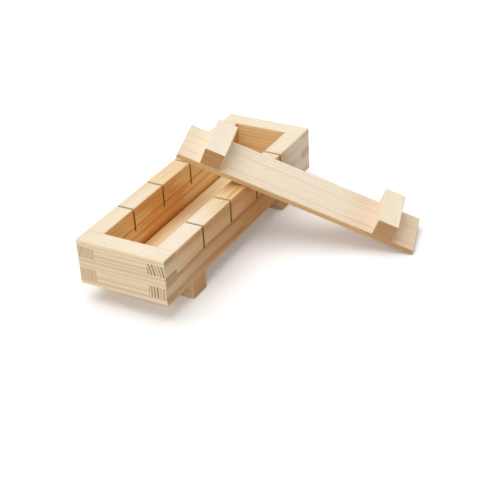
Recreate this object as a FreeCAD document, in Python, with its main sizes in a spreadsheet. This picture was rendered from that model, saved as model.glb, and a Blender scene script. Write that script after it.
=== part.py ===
import FreeCAD, Part
import os
import Sketcher

# A wooden box press for pressed rice, in millimetres and degrees, +Z up: a frame of four boards, a loose
# base that the frame stands on, and a loose lid that leans across the frame with its low end on the table.
# The origin is on the table, in the middle of the ground that the box and the leaning lid cover.
# +X runs along the box, -Y is its front.

os.makedirs("parts", exist_ok=True)
doc = FreeCAD.newDocument("rice_press")

# Driving sizes: name, value, what it measures
driving_sizes = [
    ("box_length", 215, "frame, outside, along X"),
    ("box_width", 70, "frame, outside, along Y"),
    ("box_height", 35, "frame"),
    ("wall_thickness", 14, "all four boards of the frame"),
    ("finger_height", 8.5, "one full finger of the corner joints"),
    ("kerf_width", 2, "knife slot across a long wall"),
    ("kerf_depth", 18, "knife slot, from the top of the wall"),
    ("kerf_pitch", 38.5, "from slot to slot, one portion of rice"),
    ("kerf_count", 4, "slots in each long wall"),
    ("arris", 0.5, "bevel planed on the open edges of thick wood"),
    ("plate_arris", 0.3, "bevel planed on the edges of thin wood"),
    ("foot_width", 17, "foot, along X"),
    ("foot_height", 14, "foot"),
    ("foot_inset", 32, "from the frame's end to the foot"),
    ("floor_thickness", 3.5, "base plate"),
    ("floor_end_gap", 2, "base plate to the end wall"),
    ("floor_side_gap", 1.2, "base plate to the long wall"),
    ("lid_thickness", 4, "press plate"),
    ("lid_end_gap", 2, "press plate to the end wall when it is in the frame"),
    ("lid_side_gap", 1.2, "press plate to the long wall when it is in the frame"),
    ("handle_width", 15.5, "handle bar, along the lid"),
    ("handle_height", 14, "handle bar"),
    ("handle_inset", 17.25, "from the lid's end to the handle bar"),
    ("peg_radius", 1.25, "peg"),
    ("peg_length", 11, "peg"),
    ("peg_point", 0.5, "blunt point of the peg, its length and how much it narrows"),
    ("peg_bite", 0.04, "how much smaller the hole's radius is than the peg's"),
    ("peg_tip_gap", 0.5, "space left below the peg's tip"),
    ("floor_peg_inset", 12, "from the long edge of the base plate to the peg"),
    ("lid_peg_inset", 8, "from the long edge of the press plate to the peg"),
    ("lid_tilt", 23.2, "slope of the leaning lid, down towards the front"),
    ("lid_turn", 16, "turn of the leaning lid from square across the frame"),
    ("lid_rest_x", 32.6, "middle of the leaning lid, along X"),
    ("lean_gap", 0.05, "between the leaning lid and the edge it leans on"),
    ("box_setback", 57.7, "middle of the box behind the origin"),
]
sheet = doc.addObject("Spreadsheet::Sheet", "Sizes")
for row, (name, size, note) in enumerate(driving_sizes, 1):
    sheet.set(f"A{row}", name)
    sheet.set(f"B{row}", str(size))
    sheet.setAlias(f"B{row}", name)
    sheet.set(f"C{row}", note)
doc.recompute()

# Distances worked out from the sizes and shared by several pieces
half_length = "Sizes.box_length / 2"
half_width = "Sizes.box_width / 2"
half_opening_length = f"({half_length} - Sizes.wall_thickness)"
half_opening_width = f"({half_width} - Sizes.wall_thickness)"
half_floor_length = f"({half_opening_length} - Sizes.floor_end_gap)"
half_floor_width = f"({half_opening_width} - Sizes.floor_side_gap)"
half_lid_length = f"({half_opening_length} - Sizes.lid_end_gap)"
half_lid_width = f"({half_opening_width} - Sizes.lid_side_gap)"
foot_middle = f"({half_length} - Sizes.foot_inset - Sizes.foot_width / 2)"
handle_middle = f"({half_lid_length} - Sizes.handle_inset - Sizes.handle_width / 2)"
floor_peg_y = f"({half_floor_width} - Sizes.floor_peg_inset)"
lid_peg_y = f"({half_lid_width} - Sizes.lid_peg_inset)"
peg_hole_radius = "Sizes.peg_radius - Sizes.peg_bite"

# The five layers of a corner joint, from the bottom: the end walls hold layers 1, 3 and 5
layer_1_top = "(Sizes.box_height / 2 - 1.5 * Sizes.finger_height)"
layer_2_top = "(Sizes.box_height / 2 - 0.5 * Sizes.finger_height)"
layer_3_top = "(Sizes.box_height / 2 + 0.5 * Sizes.finger_height)"
layer_4_top = "(Sizes.box_height / 2 + 1.5 * Sizes.finger_height)"
end_wall_layers = [("0", layer_1_top), (layer_2_top, layer_3_top), (layer_4_top, "Sizes.box_height")]
long_wall_layers = [(layer_1_top, layer_2_top), (layer_3_top, layer_4_top)]


def value(expression):
    return float(sheet.evalExpression(expression))


def new_body(label):
    body = doc.addObject("PartDesign::Body", label)
    body.Label = label
    return body


def origin_feature(body, role):
    return next(item for item in body.Origin.OriginFeatures if item.Role == role)


# A sketch on one of the body's own origin planes, raised by a distance along the plane's normal
def sketch_on(body, role, name, raised="0"):
    sketch = body.newObject("Sketcher::SketchObject", name)
    sketch.AttachmentSupport = [(origin_feature(body, role), "")]
    sketch.MapMode = "FlatFace"
    sketch.setExpression("AttachmentOffset.Base.z", raised)
    return sketch


def hold(sketch, kind, places, expression):
    name = f"{kind}_{sketch.ConstraintCount}"
    index = sketch.addConstraint(Sketcher.Constraint(kind, *places, value(expression)))
    sketch.renameConstraint(index, name)
    sketch.setExpression(f"Constraints.{name}", expression)


def add_rectangle(sketch, left, right, low, high):
    first = sketch.GeometryCount
    x_left, x_right, y_low, y_high = [value(side) for side in (left, right, low, high)]
    corners = [(x_left, y_low), (x_right, y_low), (x_right, y_high), (x_left, y_high)]
    for start, end in zip(corners, corners[1:] + corners[:1]):
        line = Part.LineSegment(FreeCAD.Vector(*start, 0), FreeCAD.Vector(*end, 0))
        sketch.addGeometry(line, False)
    for side in range(4):
        end_to_start = (first + side, 2, first + (side + 1) % 4, 1)
        sketch.addConstraint(Sketcher.Constraint("Coincident", *end_to_start))
    for side, direction in enumerate(["Horizontal", "Vertical", "Horizontal", "Vertical"]):
        sketch.addConstraint(Sketcher.Constraint(direction, first + side))
    hold(sketch, "DistanceX", (-1, 1, first, 1), left)
    hold(sketch, "DistanceX", (-1, 1, first + 2, 1), right)
    hold(sketch, "DistanceY", (-1, 1, first, 1), low)
    hold(sketch, "DistanceY", (-1, 1, first + 2, 1), high)


# A right triangle with its square corner on the wood's edge: legs along the two faces
def add_corner_triangle(sketch, corner_x, corner_y, leg_x, leg_y):
    first = sketch.GeometryCount
    x, y, to_x, to_y = [value(place) for place in (corner_x, corner_y, leg_x, leg_y)]
    points = [(x, y), (to_x, y), (x, to_y)]
    for start, end in zip(points, points[1:] + points[:1]):
        line = Part.LineSegment(FreeCAD.Vector(*start, 0), FreeCAD.Vector(*end, 0))
        sketch.addGeometry(line, False)
    for side in range(3):
        end_to_start = (first + side, 2, first + (side + 1) % 3, 1)
        sketch.addConstraint(Sketcher.Constraint("Coincident", *end_to_start))
    sketch.addConstraint(Sketcher.Constraint("Horizontal", first))
    sketch.addConstraint(Sketcher.Constraint("Vertical", first + 2))
    hold(sketch, "DistanceX", (-1, 1, first, 1), corner_x)
    hold(sketch, "DistanceY", (-1, 1, first, 1), corner_y)
    hold(sketch, "DistanceX", (-1, 1, first, 2), leg_x)
    hold(sketch, "DistanceY", (-1, 1, first + 1, 2), leg_y)


def add_circle(sketch, along_x, along_y, radius):
    middle = FreeCAD.Vector(value(along_x), value(along_y), 0)
    circle = sketch.addGeometry(Part.Circle(middle, FreeCAD.Vector(0, 0, 1), value(radius)), False)
    hold(sketch, "DistanceX", (-1, 1, circle, 3), along_x)
    hold(sketch, "DistanceY", (-1, 1, circle, 3), along_y)
    hold(sketch, "Radius", (circle,), radius)


def add_pad(body, sketch, length, name="blank", backwards=False):
    pad = body.newObject("PartDesign::Pad", name)
    pad.Profile = sketch
    pad.Reversed = backwards
    pad.setExpression("Length", length)
    body.Tip = pad
    doc.recompute()
    return pad


# A cut of a given length, or right through the body if no length is given
def add_pocket(body, sketch, name, length=None, backwards=False, both_ways=False):
    before = body.Tip.Shape.Volume
    pocket = body.newObject("PartDesign::Pocket", name)
    pocket.Profile = sketch
    pocket.Reversed = backwards
    pocket.Midplane = both_ways
    if length:
        pocket.setExpression("Length", length)
    else:
        pocket.Type = "ThroughAll"
    body.Tip = pocket
    doc.recompute()
    if pocket.Shape.Volume >= before:
        raise SystemExit(f"{body.Label}: {name} cuts nothing")
    return pocket


def add_mirror(body, cut, role, name):
    mirror = body.newObject("PartDesign::Mirrored", name)
    mirror.Originals = [cut]
    mirror.MirrorPlane = (origin_feature(body, role), [""])
    body.Tip = mirror
    doc.recompute()
    return mirror


# Bevels each straight edge that lies in both planes of a pair; a plane is an axis number and a place on it
def add_bevels(body, size, plane_pairs):
    solid = body.Tip.Shape
    near = 0.001
    edges = []
    for number, edge in enumerate(solid.Edges, 1):
        ends = [vertex.Point for vertex in edge.Vertexes]
        for pair in plane_pairs:
            offsets = [abs(end[axis] - value(place)) for axis, place in pair for end in ends]
            if max(offsets) < near:
                edges.append(f"Edge{number}")
    base = body.Tip
    bevel = body.newObject("PartDesign::Chamfer", "bevels")
    bevel.Base = (base, edges)
    bevel.setExpression("Size", size)
    body.Tip = bevel
    doc.recompute()
    return bevel


# The twelve edges of a block between two corners, as plane pairs
def block_edges(low_corner, high_corner):
    planes = [(axis, place) for corner in (low_corner, high_corner) for axis, place in enumerate(corner)]
    return [(one, two) for one in planes for two in planes if one[0] < two[0]]


def set_placement(item, expression):
    item.setExpression("Placement", expression)


def placed(x, y, z, turned="0", about="vector(0; 0; 1)"):
    return f"placement(vector({x}; {y}; {z}); rotation({about}; {turned}))"


# A long wall: the outline stands on XZ, the inner face is at y = 0 and the outer face at -Y
def long_wall(label, placement):
    body = new_body(label)
    outline = sketch_on(body, "XZ_Plane", "outline")
    add_rectangle(outline, f"-{half_length}", half_length, "0", "Sizes.box_height")
    add_pad(body, outline, "Sizes.wall_thickness")
    notches = sketch_on(body, "XZ_Plane", "notches")
    for low, high in end_wall_layers:
        add_rectangle(notches, half_opening_length, half_length, low, high)
    right_notches = add_pocket(body, notches, "right_notches", both_ways=True)
    add_mirror(body, right_notches, "YZ_Plane", "left_notches")
    outer_face = (1, "-Sizes.wall_thickness")
    top = (2, "Sizes.box_height")
    bottom = (2, "0")
    bevelled = [(outer_face, top), (outer_face, bottom), ((1, "0"), top), ((1, "0"), bottom)]
    bevelled += [((0, half_length), outer_face), ((0, f"-{half_length}"), outer_face)]
    add_bevels(body, "Sizes.arris", bevelled)
    first_kerf = "(-Sizes.kerf_pitch * (Sizes.kerf_count - 1) / 2)"
    kerf = sketch_on(body, "XZ_Plane", "kerf_outline")
    kerf_left = f"{first_kerf} - Sizes.kerf_width / 2"
    kerf_right = f"{first_kerf} + Sizes.kerf_width / 2"
    kerf_floor = "Sizes.box_height - Sizes.kerf_depth"
    add_rectangle(kerf, kerf_left, kerf_right, kerf_floor, "Sizes.box_height")
    left_kerf = add_pocket(body, kerf, "left_kerf", both_ways=True)
    kerfs = body.newObject("PartDesign::LinearPattern", "kerfs")
    kerfs.Originals = [left_kerf]
    kerfs.Direction = (origin_feature(body, "X_Axis"), [""])
    kerfs.setExpression("Length", "Sizes.kerf_pitch * (Sizes.kerf_count - 1)")
    kerfs.setExpression("Occurrences", "Sizes.kerf_count")
    body.Tip = kerfs
    set_placement(body, placement)
    return body


# An end wall: the outline stands on YZ, the inner face is at x = 0 and the outer face at -X
def end_wall(label, placement):
    body = new_body(label)
    outline = sketch_on(body, "YZ_Plane", "outline")
    add_rectangle(outline, f"-{half_width}", half_width, "0", "Sizes.box_height")
    add_pad(body, outline, "Sizes.wall_thickness", backwards=True)
    notches = sketch_on(body, "YZ_Plane", "notches")
    for low, high in long_wall_layers:
        add_rectangle(notches, half_opening_width, half_width, low, high)
    back_notches = add_pocket(body, notches, "back_notches", both_ways=True)
    add_mirror(body, back_notches, "XZ_Plane", "front_notches")
    outer_face = (0, "-Sizes.wall_thickness")
    front = (1, f"-{half_width}")
    back = (1, half_width)
    levels = [(2, "0"), (2, "Sizes.box_height")]
    bevelled = [(face, level) for face in (outer_face, front, back) for level in levels]
    bevelled += [(outer_face, front), (outer_face, back)]
    add_bevels(body, "Sizes.arris", bevelled)
    # The inner edges are bevelled only between the long walls, where they are open
    mouth = sketch_on(body, "XZ_Plane", "mouth_bevel_outline")
    top_leg = "Sizes.box_height - Sizes.arris"
    add_corner_triangle(mouth, "0", "Sizes.box_height", "-Sizes.arris", top_leg)
    add_corner_triangle(mouth, "0", "0", "-Sizes.arris", "Sizes.arris")
    add_pocket(body, mouth, "mouth_bevels", f"2 * {half_opening_width}", both_ways=True)
    set_placement(body, placement)
    return body


# A block with its underside's middle at the origin, bevelled all round
def bevelled_block(body, half_x, half_y, height, bevel):
    outline = sketch_on(body, "XY_Plane", "outline")
    add_rectangle(outline, f"-{half_x}", half_x, f"-{half_y}", half_y)
    add_pad(body, outline, height)
    low_corner = (f"-{half_x}", f"-{half_y}", "0")
    add_bevels(body, bevel, block_edges(low_corner, (half_x, half_y, height)))


# A thin plate with a row of two peg holes under or over each of its two cross bars
def plate(label, half_x, half_y, thickness, bar_middle, peg_y, placement):
    body = new_body(label)
    bevelled_block(body, half_x, half_y, thickness, "Sizes.plate_arris")
    holes = sketch_on(body, "XY_Plane", "peg_hole_circles")
    for along_x in (f"-{bar_middle}", bar_middle):
        for along_y in (f"-{peg_y}", peg_y):
            add_circle(holes, along_x, along_y, peg_hole_radius)
    add_pocket(body, holes, "peg_holes", both_ways=True)
    set_placement(body, placement)
    return body


# A cross bar with two blind peg holes in its top, or in its underside if holes_from_below is set
def cross_bar(label, width, half_y, height, plate_thickness, peg_y, holes_from_below, placement):
    body = new_body(label)
    bevelled_block(body, f"({width} / 2)", half_y, height, "Sizes.arris")
    holes = sketch_on(body, "XY_Plane", "peg_hole_circles", "0" if holes_from_below else height)
    for along_y in (f"-{peg_y}", peg_y):
        add_circle(holes, "0", along_y, peg_hole_radius)
    depth = f"Sizes.peg_length - {plate_thickness} + Sizes.peg_tip_gap"
    add_pocket(body, holes, "peg_holes", depth, backwards=holes_from_below)
    set_placement(body, placement)
    return body


# Two pegs with their heads at z = 0 and their blunt points above, one node
def peg_pair(label, peg_y, placement):
    pegs = []
    point_start = "(Sizes.peg_length - Sizes.peg_point)"
    for side, along_y in (("front", f"-{peg_y}"), ("back", peg_y)):
        shank = doc.addObject("Part::Cylinder", f"{label}_{side}_shank")
        shank.setExpression("Radius", "Sizes.peg_radius")
        shank.setExpression("Height", point_start)
        set_placement(shank, placed("0", along_y, "0"))
        point = doc.addObject("Part::Cone", f"{label}_{side}_point")
        point.setExpression("Radius1", "Sizes.peg_radius")
        point.setExpression("Radius2", "Sizes.peg_radius - Sizes.peg_point")
        point.setExpression("Height", "Sizes.peg_point")
        set_placement(point, placed("0", along_y, point_start))
        peg = doc.addObject("Part::Fuse", f"{label}_{side}")
        peg.Base = shank
        peg.Tool = point
        pegs.append(peg)
    pair = doc.addObject("Part::Compound", label)
    pair.Label = label
    pair.Links = pegs
    set_placement(pair, placement)
    return pair


# Where the pieces stand. The base and the frame are square to the row's axes.
setback = "Sizes.box_setback"
foot_top = "Sizes.foot_height"
floor_top = "Sizes.foot_height + Sizes.floor_thickness"
pieces = [
    long_wall("front_wall", placed("0", f"{setback} - {half_opening_width}", foot_top)),
    long_wall("back_wall", placed("0", f"{setback} + {half_opening_width}", foot_top, "180")),
    end_wall("left_end_wall", placed(f"-{half_opening_length}", setback, foot_top)),
    end_wall("right_end_wall", placed(half_opening_length, setback, foot_top, "180")),
    plate(
        "base_plate",
        half_floor_length,
        half_floor_width,
        "Sizes.floor_thickness",
        foot_middle,
        floor_peg_y,
        placed("0", setback, foot_top),
    ),
]
for side, sign in (("left", "-"), ("right", "")):
    foot = cross_bar(
        f"{side}_foot",
        "Sizes.foot_width",
        half_width,
        "Sizes.foot_height",
        "Sizes.floor_thickness",
        floor_peg_y,
        False,
        placed(f"{sign}{foot_middle}", setback, "0"),
    )
    # The pegs are driven down through the floor, so they stand on their heads
    upside_down = placed(f"{sign}{foot_middle}", setback, floor_top, "180", "vector(1; 0; 0)")
    pegs = peg_pair(f"{side}_foot_pegs", floor_peg_y, upside_down)
    pieces += [foot, pegs]

# The lid leans on the bevelled top edge of the front wall, and its low front corner is on the table.
# Its own x runs down its length, so the low corner is at the end of its length and on its front side.
drop_along_lid = "cos(Sizes.lid_turn) * sin(Sizes.lid_tilt)"
drop_across_lid = "sin(Sizes.lid_turn) * sin(Sizes.lid_tilt)"
lid_rest_z = f"({half_lid_length} * {drop_along_lid} + {half_lid_width} * {drop_across_lid})"
lean_edge_y = f"(Sizes.arris - {half_width})"
lean_edge_z = "(Sizes.foot_height + Sizes.box_height)"
edge_above_lid = f"(cos(Sizes.lid_tilt) * ({lean_edge_z} - {lid_rest_z}) + Sizes.lean_gap)"
lid_rest_y = f"{setback} + {lean_edge_y} - {edge_above_lid} / sin(Sizes.lid_tilt)"
lid_slope = "rotation(vector(1; 0; 0); Sizes.lid_tilt) * rotation(vector(0; 0; 1); Sizes.lid_turn - 90)"
lid_rest = f"placement(vector(Sizes.lid_rest_x; {lid_rest_y}; {lid_rest_z}); {lid_slope})"

press_plate = plate(
    "press_plate",
    half_lid_length,
    half_lid_width,
    "Sizes.lid_thickness",
    handle_middle,
    lid_peg_y,
    lid_rest,
)
pieces.append(press_plate)
for side, sign in (("left", "-"), ("right", "")):
    handle = cross_bar(
        f"{side}_handle",
        "Sizes.handle_width",
        half_lid_width,
        "Sizes.handle_height",
        "Sizes.lid_thickness",
        lid_peg_y,
        True,
        f"{lid_rest} * {placed(f'{sign}{handle_middle}', '0', 'Sizes.lid_thickness')}",
    )
    pegs_in_lid = placed(f"{sign}{handle_middle}", "0", "0")
    pegs = peg_pair(f"{side}_handle_pegs", lid_peg_y, f"{lid_rest} * {pegs_in_lid}")
    pieces += [handle, pegs]

doc.recompute()
for item in doc.Objects:
    if "Invalid" in item.State or "Error" in item.State:
        raise SystemExit(f"{item.Label} can't be worked out: {item.State}")
for piece in pieces:
    if piece.Shape.isNull() or not piece.Shape.isValid():
        raise SystemExit(f"{piece.Label} has no sound shape")
for piece in pieces:
    piece.Shape.exportStep(f"parts/{piece.Label}.step")
    box = piece.Shape.BoundBox
    spans = [f"{low:.2f} to {high:.2f}" for low, high in
             ((box.XMin, box.XMax), (box.YMin, box.YMax), (box.ZMin, box.ZMax))]
    print(piece.Label, len(piece.Shape.Solids), "solids,", round(piece.Shape.Volume), "mm3,", spans)
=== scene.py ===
import math
import bpy
from mathutils import Euler, Matrix, Vector


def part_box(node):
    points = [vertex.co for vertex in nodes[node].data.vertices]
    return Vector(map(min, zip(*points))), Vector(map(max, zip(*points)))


# Sushi rice press in bare softwood: a slotted frame on a footed base, the lid leaning across it.
# Metres and degrees throughout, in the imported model's own frame.
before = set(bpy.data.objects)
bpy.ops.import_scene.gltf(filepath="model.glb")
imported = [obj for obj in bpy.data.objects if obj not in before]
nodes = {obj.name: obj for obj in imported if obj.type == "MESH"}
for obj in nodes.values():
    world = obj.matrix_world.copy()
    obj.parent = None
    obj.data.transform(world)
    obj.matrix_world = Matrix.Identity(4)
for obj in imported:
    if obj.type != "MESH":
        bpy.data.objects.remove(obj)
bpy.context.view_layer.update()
mm = 0.001
print("frame loaded:", len(nodes), "pieces")


def paint(red, green, blue):  # a colour given as 0 to 255, with the screen's curve taken off
    levels = [level / 255 for level in (red, green, blue)]
    return tuple(v / 12.92 if v <= 0.04045 else ((v + 0.055) / 1.055) ** 2.4 for v in levels) + (1.0,)


# shader maths: a value on a surface, with the usual signs
class Tone:
    def __init__(self, tree, socket=None):
        self.tree = tree
        self.socket = socket

    # any node: its type, its settings, what goes into its sockets, and which output is wanted
    def node(self, kind, settings=None, sockets=None, output=0):
        made = self.tree.nodes.new(kind)
        for setting, choice in (settings or {}).items():
            setattr(made, setting, choice)
        for place, content in (sockets or {}).items():
            if isinstance(content, Tone):
                self.tree.links.new(content.socket, made.inputs[place])
            else:
                made.inputs[place].default_value = content
        return Tone(self.tree, made.outputs[output])

    def maths(self, operation, *values):
        return self.node("ShaderNodeMath", {"operation": operation}, dict(enumerate(values)))

    def __add__(self, other):
        return self.maths("ADD", self, other)

    def __radd__(self, other):
        return self.maths("ADD", other, self)

    def __sub__(self, other):
        return self.maths("SUBTRACT", self, other)

    def __rsub__(self, other):
        return self.maths("SUBTRACT", other, self)

    def __mul__(self, other):
        return self.maths("MULTIPLY", self, other)

    def __rmul__(self, other):
        return self.maths("MULTIPLY", other, self)

    def __truediv__(self, other):
        return self.maths("DIVIDE", self, other)

    def __rtruediv__(self, other):
        return self.maths("DIVIDE", other, self)

    def __pow__(self, other):
        return self.maths("POWER", self, other)

    def __rpow__(self, other):
        return self.maths("POWER", other, self)

    def __abs__(self):
        return self.maths("ABSOLUTE", self)

    def smaller(self, other):
        return self.maths("MINIMUM", self, other)

    def larger(self, other):
        return self.maths("MAXIMUM", self, other)

    def whole(self):
        return self.maths("FLOOR", self)

    def fraction(self):
        return self.maths("FRACT", self)

    def root(self):
        return self.maths("SQRT", self)

    # 0 below low, 1 above high, smooth between; the other way round if low is the larger
    def rise(self, low, high):
        sockets = {"Value": self, "From Min": low, "From Max": high}
        return self.node("ShaderNodeMapRange", {"interpolation_type": "SMOOTHSTEP"}, sockets)

    def flat(self, shade):  # one colour, to blend others into
        plain = self.node("ShaderNodeRGB")
        plain.socket.default_value = shade
        return plain

    def blended(self, other, amount, how="MIX"):  # two colours, in sockets 6 and 7
        settings = {"data_type": "RGBA", "blend_type": how, "clamp_factor": True}
        return self.node("ShaderNodeMix", settings, {0: amount, 6: self, 7: other}, 2)

    def axes(self):
        split = self.node("ShaderNodeSeparateXYZ", {}, {0: self})
        return [Tone(self.tree, split.socket.node.outputs[axis]) for axis in range(3)]

    # soft noise around 0.5; cells is how many there are in a metre on each axis
    def cloud(self, cells, detail=2.0, roughness=0.5):
        stretched = self.node("ShaderNodeVectorMath", {"operation": "MULTIPLY"}, {0: self, 1: cells})
        sockets = {"Vector": stretched, "Scale": 1.0, "Detail": detail, "Roughness": roughness}
        return self.node("ShaderNodeTexNoise", {}, sockets)

    # 1 for what the camera sees straight, mirrored or through glass, 0 for light on its way
    def background(self):
        rays = self.node("ShaderNodeLightPath").socket.node.outputs
        straight, mirrored, through = [Tone(self.tree, rays[name]) for name in
                                       ("Is Camera Ray", "Is Glossy Ray", "Is Transmission Ray")]
        return straight.larger(mirrored).larger(through)

    def into(self, kind):  # the surface of a material or a world
        self.tree.links.new(self.socket, self.tree.nodes.new(kind).inputs["Surface"])


# the wood: growth rings all the way through, so every cut shows its own figure
# A board lies with its fibres along its own x. The rings circle a pith line beside the board, given
# as how far the pith lies across (own y) and up (own z) from the board's middle.
along, across, up = 0, 1, 2
softwood = {
    "kind": "wood",
    "ringGap": 2.4 * mm,
    "ringWander": 0.4 * mm,
    "unevenRings": 1.5,
    "lateStrength": 0.45,  # late is the dark line that ends a year's ring, early the pale rest
    "fibreStrength": 0.13,
    "cloudStrength": 0.25,
    "roughness": 0.6,
    "specular": 0.25,
    "early": paint(250, 236, 210),
    "late": paint(206, 174, 128),
    "warm": paint(240, 208, 164),
    "endGrain": paint(226, 202, 166),
    "endLate": paint(120, 98, 72),
    "endRings": 0.8,
    "climb": (0.004, 0.006),  # slope of the pith line against the board, across and up
    "seed": 0.0,
    "zones": [],  # places, how the shade goes in, shade, strength; a place is an axis, from, to
    "streaks": [],  # on the front face: height, half width, from and to along it, shade, strength
    "burn": None,  # the sawn slots' own darker tone, with painted shade deeper in, if the board has them
}
grain = {
    # noise cells in a metre: along, across, up
    "wander": (5, 26, 26), "shake": (22, 120, 120),
    "fine": (70, 2600, 2600), "coarse": (26, 850, 850),
    "cloudy": (7, 48, 48), "flecks": (160, 2300, 2300), "wave": (14, 0, 0),
    # from where each starts to where it is full
    "lateStarts": (0.38, 0.86), "lateStops": (1.0, 0.93), "fleckLevel": (0.66, 0.78),
    "sawnSkin": (0.45 * mm, 0.05 * mm), "wornEdge": (1.3 * mm, 0.1 * mm),
    "streakSkin": (0.6 * mm, 0.1 * mm),
    "slotMouth": (0.02 * mm, 0.25 * mm), "slotShade": (0.7 * mm, 2.4 * mm),
    # lengths, and the relief
    "raggedEdge": 0.8 * mm, "streakTaper": 12 * mm, "coarseTongue": 50 * mm, "cloudyTongue": 60 * mm,
    "reliefStrength": 0.35, "reliefDepth": 0.06 * mm,
}
wall = {"front": -7 * mm, "leftEnd": -107 * mm, "slotPitch": 38.5 * mm, "slotWidth": 2.0 * mm}
# places on a wall board as it lies along x, before it is turned
frontFace = (across, -6.3 * mm, -6.9 * mm)
backFace = (across, 6.3 * mm, 6.9 * mm)
topEdge = (up, 17.0 * mm, 17.3 * mm)


# how dark the year's line is: 0 in the early wood, about 1 on a strong line; rings differ in width,
# wander a little and have each their own strength
def ringLines(look, wood, x, y, z):
    wander = wood.cloud(grain["wander"], 2.0, 0.45) - 0.5
    shake = wood.cloud(grain["shake"], 1.0) - 0.5
    fromPithAcross = y - look["pith"][0] + x * look["climb"][0]
    fromPithUp = z - look["pith"][1] + x * look["climb"][1]
    radius = (fromPithAcross * fromPithAcross + fromPithUp * fromPithUp).root()
    radius = radius + wander * (look["ringWander"] * 4) + shake * (look["ringWander"] * 0.9)
    count = radius / look["ringGap"]
    unevenness = wood.node("ShaderNodeTexNoise", {"noise_dimensions": "1D"},
                           {"W": count * 0.55 + look["seed"], "Scale": 1.0, "Detail": 1.0})
    count = count + (unevenness - 0.5) * look["unevenRings"]
    ring = count.whole()
    phase = count - ring
    line = phase.rise(*grain["lateStarts"]) * phase.rise(*grain["lateStops"])
    ringTone = wood.node("ShaderNodeTexWhiteNoise", {"noise_dimensions": "1D"},
                         {"W": ring + look["seed"]})
    return line * (ringTone * 0.75 + 0.4)


def woodFinish(name, look):
    finish = bpy.data.materials.new(name)
    finish.use_nodes = True
    finish.node_tree.nodes.clear()
    start = Tone(finish.node_tree)

    # the board's own coordinates, and the same moved to its own place in the noise
    place = start.node("ShaderNodeTexCoord", output="Object")
    own = start.node("ShaderNodeMapping", {"vector_type": "TEXTURE"},
                     {"Vector": place, "Location": look["middle"],
                      "Rotation": look["turn"].to_euler("XYZ")})
    x, y, z = own.axes()
    drift = Vector((look["seed"], look["seed"] * 1.7, look["seed"] * 2.3))
    wood = start.node("ShaderNodeVectorMath", {"operation": "ADD"}, {0: own, 1: drift})
    late = ringLines(look, wood, x, y, z)

    # fibres: long streaks on a side, specks on a sawn end
    fine = wood.cloud(grain["fine"], 2.0, 0.6)
    coarse = wood.cloud(grain["coarse"], 2.0, 0.55)
    cloudy = wood.cloud(grain["cloudy"], 3.0, 0.55)
    flecks = wood.cloud(grain["flecks"], 0.0).rise(*grain["fleckLevel"])

    # how deep in the board: near a sawn end, near an edge
    deepAlong, deepAcross, deepUp = [half - abs(axis) for half, axis in zip(look["half"], (x, y, z))]
    sawnEnd = deepAlong.rise(*grain["sawnSkin"])
    nearSide = deepAcross.smaller(deepUp)
    farSide = deepAcross.larger(deepUp)
    toEdge = nearSide.larger(deepAlong.smaller(farSide))
    edge = (toEdge + (coarse - 0.5) * grain["raggedEdge"]).rise(*grain["wornEdge"])

    # the sides
    side = start.flat(look["early"])
    side = side.blended(look["warm"], (cloudy - 0.38) * (look["cloudStrength"] * 3.2))
    side = side.blended(look["late"], late * look["lateStrength"])
    fibre = ((fine - 0.5) * 0.9 + (coarse - 0.5) * 1.1) * (look["fibreStrength"] * 4)
    side = side.blended(look["late"], fibre.larger(0.0))
    side = side.blended(look["early"], (fibre * -1).larger(0.0))
    side = side.blended(look["late"], flecks * 0.35)
    # a zone, painted light or shade on some sides and the wood's own tone on others, starts and stops
    # in tongues along the fibres
    tongues = x + (coarse - 0.5) * grain["coarseTongue"] + (cloudy - 0.5) * grain["cloudyTongue"]
    for places, how, shade, strength in look["zones"]:
        for axis, low, high in places:
            strength = (tongues, y, z)[axis].rise(low, high) * strength
        side = side.blended(shade, strength * (coarse * 0.3 + 0.85), how)
    for height, reach, (first, last), shade, strength in look["streaks"]:  # mineral streaks
        wave = (wood.cloud(grain["wave"]) - 0.5) * (reach * 2.2)
        atFace = abs(y - wall["front"]).rise(*grain["streakSkin"])
        atHeight = abs(z - height + wave).rise(reach, reach * 0.1)
        started = x.rise(first - grain["streakTaper"], first)
        notEnded = x.rise(last + grain["streakTaper"], last)
        streak = atFace * atHeight * started * notEnded
        side = side.blended(shade, streak * (coarse * 0.8 + 0.3) * strength, "MULTIPLY")

    # the sawn ends, the edges and the knife slots
    sawn = start.flat(look["endGrain"]).blended(look["endLate"], late ** 1.3 * look["endRings"])
    sawn = sawn.blended(look["endLate"], (fine - 0.42).larger(0.0) * 0.9)
    colour = side.blended(sawn, sawnEnd).blended(look["warm"], edge * 0.15)
    if look["burn"]:
        fromSlot = abs((x / wall["slotPitch"]).fraction() - 0.5) * wall["slotPitch"]
        # the slot is half its width to each side; its own darker tone and painted shade stop just
        # beyond its faces
        inSlot = fromSlot.rise(wall["slotWidth"] * 0.62, wall["slotWidth"] * 0.56)
        inSlot = inSlot * nearSide.rise(*grain["slotMouth"])
        # painted shade, darker deeper into the slot
        paintedSlotShade = deepUp.rise(*grain["slotShade"]) * 0.95 + 0.05  # light falls in from above
        colour = colour.blended(look["burn"], inSlot * paintedSlotShade * (fine * 0.5 + 0.65))

    rough = (fine - 0.5) * 0.25 + late * -0.08 + sawnEnd * 0.14 + edge * 0.05 + look["roughness"]
    relief = late * 0.5 + fine * 0.6 + coarse * 0.5 - flecks * 0.6
    bump = start.node("ShaderNodeBump", {},
                      {"Strength": grain["reliefStrength"], "Distance": grain["reliefDepth"],
                       "Height": relief})
    surface = start.node("ShaderNodeBsdfPrincipled", {},
                         {"Base Color": colour, "Roughness": rough, "Normal": bump,
                          "Specular IOR Level": look["specular"]})
    surface.into("ShaderNodeOutputMaterial")
    return finish


straight = Matrix.Identity(3)
crosswise = Matrix.Rotation(math.radians(90), 3, "Z")
upright = Matrix.Rotation(math.radians(-90), 3, "Y")


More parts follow.
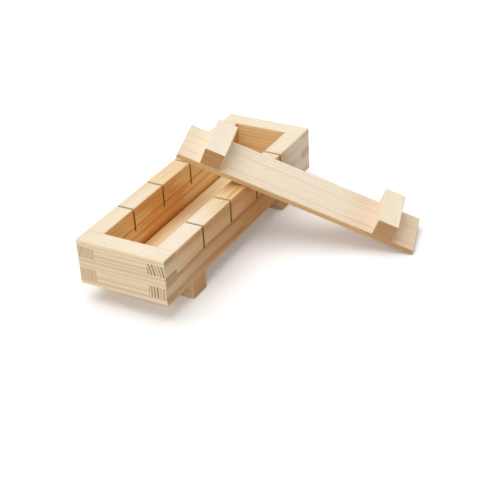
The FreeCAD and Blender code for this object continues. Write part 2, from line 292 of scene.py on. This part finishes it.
# turn brings a board from lying along x to its place; one that leans is told its own size
def dress(node, board, turn, size=None):
    low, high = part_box(node)
    if size is None:
        size = turn.inverted() @ (high - low)
    look = {**softwood, **board, "turn": turn, "middle": (low + high) / 2,
            "half": [abs(length) / 2 for length in size]}
    first, *rest = node.split("_") + [look["kind"]]
    slots = nodes[node].data.materials
    slots.clear()
    slots.append(woodFinish(first + "".join(word.title() for word in rest), look))


# frame
frontWall = {
    "pith": (72 * mm, -10 * mm), "ringGap": 2.35 * mm, "climb": (0.004, 0.01), "seed": 3.1,
    "unevenRings": 0.5, "lateStrength": 0.42, "cloudStrength": 0.3,
    "endGrain": paint(244, 228, 198), "endLate": paint(112, 96, 74), "endRings": 1.05,
    # the slots: their own sawn tone, with painted shade deeper in
    "burn": paint(157, 104, 60),
    "zones": [
        # painted shade: the front face, turned from the lamps, darker and warmer all along
        ([frontFace], "MULTIPLY", paint(241, 228, 214), 1.0),
        # painted shade and warm reflected light, in two zones, deepest along the middle of the front
        # face
        ([frontFace, (along, -85 * mm, -40 * mm), (along, 75 * mm, 25 * mm)],
         "MULTIPLY", paint(246, 234, 218), 1.0),
        ([frontFace, (along, -40 * mm, 10 * mm), (along, 75 * mm, 35 * mm)],
         "MULTIPLY", paint(252, 234, 204), 1.0),
        # painted light: both ends of the front face paler, in two zones
        ([frontFace, (along, 44 * mm, 84 * mm)], "MIX", paint(255, 252, 243), 0.8),
        ([frontFace, (along, -78 * mm, -102 * mm)], "MIX", paint(248, 240, 222), 0.35),
        # painted shade and warm reflected light on the face inside the box
        ([backFace], "MULTIPLY", paint(255, 226, 176), 1.0),
        # painted light: the top edge paler, as light falls on it from above, and its grain lines
        # softer
        ([topEdge], "MIX", paint(255, 242, 222), 0.4),
        ([topEdge, (along, -40 * mm, -75 * mm)], "MIX", paint(252, 237, 212), 0.5),
        ([topEdge, (along, -50 * mm, -12 * mm), (along, 70 * mm, 25 * mm)],
         "MULTIPLY", paint(248, 234, 210), 1.0),
        # painted shadow of the leaning lid on the top edge, in two zones
        ([topEdge, (along, -18 * mm, 4 * mm), (along, 50 * mm, 25 * mm)],
         "MULTIPLY", paint(243, 222, 192), 1.0),
        ([topEdge, (along, -8 * mm, 4 * mm), (along, 18 * mm, 6 * mm)],
         "MULTIPLY", paint(236, 218, 196), 1.0),
    ],
    "streaks": [
        (-1.0 * mm, 3.0 * mm, (wall["leftEnd"], 50 * mm), paint(226, 182, 148), 1.0),
        (14.6 * mm, 2.6 * mm, (wall["leftEnd"], 60 * mm), paint(232, 200, 168), 0.7),
        (-12.5 * mm, 3.0 * mm, (wall["leftEnd"], -8 * mm), paint(226, 182, 144), 1.0),
    ],
}
backWall = {  # its front face is the one to the rice
    "pith": (-48 * mm, -6 * mm), "ringGap": 1.9 * mm, "climb": (0.006, -0.012), "seed": 11.7,
    "unevenRings": 1.0, "lateStrength": 0.42, "cloudStrength": 0.3,
    "endGrain": paint(236, 220, 190), "endLate": paint(150, 130, 104), "endRings": 0.8,
    # the slots: their own sawn tone, with painted shade deeper in
    "burn": paint(178, 108, 42),
    "zones": [
        # painted shade and warm reflected light on the face inside the box
        ([frontFace], "MULTIPLY", paint(255, 226, 176), 1.0),
        # painted shade on the inner face, left of the middle
        ([frontFace, (along, -68 * mm, -42 * mm), (along, 6 * mm, -18 * mm)],
         "MULTIPLY", paint(238, 215, 190), 1.0),
        # painted light on the inner face from under the lid's high end onwards
        ([frontFace, (along, -8 * mm, 14 * mm)], "MIX", paint(255, 228, 176), 0.75),
        # painted shade towards the far inside corner
        ([frontFace, (along, 52 * mm, 78 * mm)], "MULTIPLY", paint(216, 184, 144), 1.0),
        # painted shade low on the inner face, where it meets the floor
        ([frontFace, (up, -8 * mm, -15 * mm)], "MULTIPLY", paint(236, 210, 172), 1.0),
        ([topEdge, (along, -50 * mm, -14 * mm), (along, 70 * mm, 25 * mm)],
         "MULTIPLY", paint(251, 239, 218), 1.0),
        ([topEdge, (along, -45 * mm, -75 * mm)], "MIX", paint(251, 235, 208), 0.35),
    ],
    "streaks": [
        (3.0 * mm, 1.6 * mm, (-90 * mm, 90 * mm), paint(222, 170, 116), 0.9),
        (-4.5 * mm, 2.0 * mm, (-90 * mm, 60 * mm), paint(226, 176, 122), 0.8),
    ],
}
leftEndWall = {
    "pith": (0.0, -90 * mm), "ringGap": 3.1 * mm, "climb": (0.0, 0.012), "seed": 21.4,
    "ringWander": 0.2 * mm, "lateStrength": 0.6, "cloudStrength": 0.15,
    "late": paint(198, 177, 138), "warm": paint(240, 214, 178),
    "endGrain": paint(210, 188, 156), "endRings": 0.35,
    # painted shade and warm reflected light on the face inside the box
    "zones": [([frontFace], "MULTIPLY", paint(255, 226, 176), 1.0)],
}
rightEndWall = {
    "pith": (-10 * mm, -70 * mm), "ringGap": 3.0 * mm, "climb": (0.0, -0.01), "seed": 31.9,
    "ringWander": 0.25 * mm, "lateStrength": 0.4, "cloudStrength": 0.2,
    "endGrain": paint(248, 234, 214), "endLate": paint(160, 142, 118), "endRings": 0.3,
    # painted shade and warm reflected light on the face inside the box
    "zones": [([backFace], "MULTIPLY", paint(249, 231, 196), 1.0)],
}
dress("front_wall", frontWall, straight)
dress("back_wall", backWall, straight)
dress("left_end_wall", leftEndWall, crosswise)
dress("right_end_wall", rightEndWall, crosswise)
print("frame dressed")

# base
plateTop = (up, 1.4 * mm, 1.7 * mm)
basePlate = {
    "pith": (120 * mm, -40 * mm), "ringGap": 2.3 * mm, "climb": (0.01, 0.01), "seed": 41.3,
    "lateStrength": 0.4,
    "early": paint(255, 249, 232), "warm": paint(252, 228, 190), "late": paint(224, 190, 144),
    "zones": [
        # painted warm reflected light on the floor inside the box
        ([plateTop], "MULTIPLY", paint(255, 246, 224), 1.0),
        # painted shade on the floor along the foot of the back wall
        ([plateTop, (across, 12 * mm, 18 * mm), (along, 25 * mm, -15 * mm)],
         "MULTIPLY", paint(242, 222, 192), 1.0),
    ],
}
# browner than the other boards: partly the feet's own wood, partly painted shade under the box
footBar = {
    "early": paint(238, 211, 171), "warm": paint(226, 188, 140), "late": paint(190, 150, 104),
    "lateStrength": 0.4, "endGrain": paint(222, 182, 136), "endRings": 0.35,
}
leftFoot = {**footBar, "pith": (30 * mm, 12 * mm), "ringGap": 2.2 * mm, "seed": 51.2}
rightFoot = {**footBar, "pith": (-26 * mm, 16 * mm), "seed": 57.8}
dress("base_plate", basePlate, straight)
dress("left_foot", leftFoot, crosswise)
dress("right_foot", rightFoot, crosswise)
print("base dressed")

# lid: it leans, so its woods are turned with it
lid = {
    "tilt": 23.2, "turn": 16.0,
    "plateSize": Vector((183, 39.6, 4)) * mm,
    "handleSize": Vector((39.6, 15.5, 14)) * mm,
    "pegPairSize": Vector((11, 26, 2.5)) * mm,  # both pegs of a handle together
}
lidTurn = (Matrix.Rotation(math.radians(lid["tilt"]), 3, "X")
           @ Matrix.Rotation(math.radians(lid["turn"] - 90), 3, "Z"))
pressPlate = {
    "pith": (240 * mm, 30 * mm), "ringGap": 2.1 * mm, "climb": (0.012, 0.0), "seed": 61.5,
    "lateStrength": 0.38,
    "early": paint(251, 236, 214), "warm": paint(244, 214, 182), "late": paint(214, 182, 148),
    "endLate": paint(160, 134, 102), "endRings": 0.5,
    "zones": [
        # painted shade on the plate's downhill edge
        ([(across, -19.2 * mm, -19.6 * mm)], "MULTIPLY", paint(226, 208, 172), 1.0),
        # painted shade towards the plate's low end
        ([(along, 28 * mm, 52 * mm)], "MULTIPLY", paint(243, 236, 230), 1.0),
        # faint painted shade towards the plate's high end
        ([(along, -66 * mm, -76 * mm)], "MULTIPLY", paint(253, 252, 250), 1.0),
    ],
}
handleBar = {
    "lateStrength": 0.14, "cloudStrength": 0.1, "fibreStrength": 0.1,
    "endLate": paint(150, 102, 60), "endRings": 0.45,
}
leftHandle = {
    **handleBar, "pith": (8 * mm, -60 * mm), "ringGap": 3.4 * mm, "seed": 71.1,
    "early": paint(255, 244, 222), "late": paint(234, 204, 166), "warm": paint(251, 226, 192),
    "endGrain": paint(203, 160, 114),
}
rightHandle = {
    **handleBar, "pith": (-9 * mm, -55 * mm), "ringGap": 3.2 * mm, "seed": 77.7,
    "early": paint(252, 239, 214), "endGrain": paint(202, 168, 128),
}
dress("press_plate", pressPlate, lidTurn, lid["plateSize"])
dress("left_handle", leftHandle, lidTurn @ crosswise, lid["handleSize"])
dress("right_handle", rightHandle, lidTurn @ crosswise, lid["handleSize"])
print("lid dressed")

# pegs
peg = {
    "kind": "bamboo",
    "pith": (0.0, 0.0), "ringGap": 1.2 * mm, "seed": 81.0, "lateStrength": 0.4,
    "early": paint(222, 194, 142), "late": paint(176, 138, 84), "endGrain": paint(196, 160, 104),
    "endLate": paint(120, 86, 46),
}
for node in ("left_foot_pegs", "right_foot_pegs"):
    dress(node, peg, upright)
for node in ("left_handle_pegs", "right_handle_pegs"):
    dress(node, peg, lidTurn @ upright, lid["pegPairSize"])
print("pegs dressed")

# floor: white where the camera sees it, a warm pale board to the light that falls on it
white = (1.0, 1.0, 1.0, 1.0)
studio = {
    "floorSize": 6.0,
    "floorTint": paint(214, 190, 158),
    "floorLift": 0.12,
    "worldLevel": 0.4,
    "lamps": {
        "keyLamp": {"comesFrom": (-0.1, 0.15, 1.0), "level": 1.65, "softness": 60},
        "sideLamp": {"comesFrom": (-1.0, -0.05, 0.42), "level": 0.65, "softness": 50},
    },
}
bpy.ops.object.select_all(action="DESELECT")
bpy.ops.mesh.primitive_plane_add(size=studio["floorSize"], location=(0, 0, 0))
floor = bpy.context.object
floor.name = "floor"
floorFinish = bpy.data.materials.new("paleFloor")
floorFinish.use_nodes = True
floorFinish.node_tree.nodes.clear()
ground = Tone(floorFinish.node_tree)
seen = ground.background()
tint = ground.flat(studio["floorTint"]).blended(white, seen)
matt = ground.node("ShaderNodeBsdfDiffuse", {}, {"Color": tint})
lift = ground.node("ShaderNodeEmission", {}, {"Color": white, "Strength": seen * studio["floorLift"]})
ground.node("ShaderNodeAddShader", {}, {0: matt, 1: lift}).into("ShaderNodeOutputMaterial")
floor.data.materials.append(floorFinish)

world = bpy.data.worlds.new("studioWorld")
bpy.context.scene.world = world
world.use_nodes = True
world.node_tree.nodes.clear()
sky = Tone(world.node_tree)
level = sky.background() * (1 - studio["worldLevel"]) + studio["worldLevel"]
glow = sky.node("ShaderNodeBackground", {}, {"Color": white, "Strength": level})
glow.into("ShaderNodeOutputWorld")

for name, setUp in studio["lamps"].items():
    lamp = bpy.data.lights.new(name, "SUN")
    lamp.energy = setUp["level"]
    lamp.angle = math.radians(setUp["softness"])
    holder = bpy.data.objects.new(name, lamp)
    bpy.context.scene.collection.objects.link(holder)
    holder.rotation_euler = Vector(setUp["comesFrom"]).to_track_quat("Z", "Y").to_euler()
print("studio lit")

# camera, fitted to the photograph's frame
photoCamera = {
    "place": (-0.61750, -0.33333, 0.43558), "turn": (58.372, 2.536, -61.791),
    "lens": 81.667, "sensor": 36,
}
camera = bpy.data.cameras.new("photoCamera")
camera.lens = photoCamera["lens"]
camera.sensor_width = photoCamera["sensor"]
holder = bpy.data.objects.new("photoCamera", camera)
bpy.context.scene.collection.objects.link(holder)
holder.location = photoCamera["place"]
holder.rotation_euler = Euler([math.radians(angle) for angle in photoCamera["turn"]], "XYZ")
bpy.context.scene.camera = holder
bpy.context.scene.view_settings.view_transform = "Standard"
print("camera set")
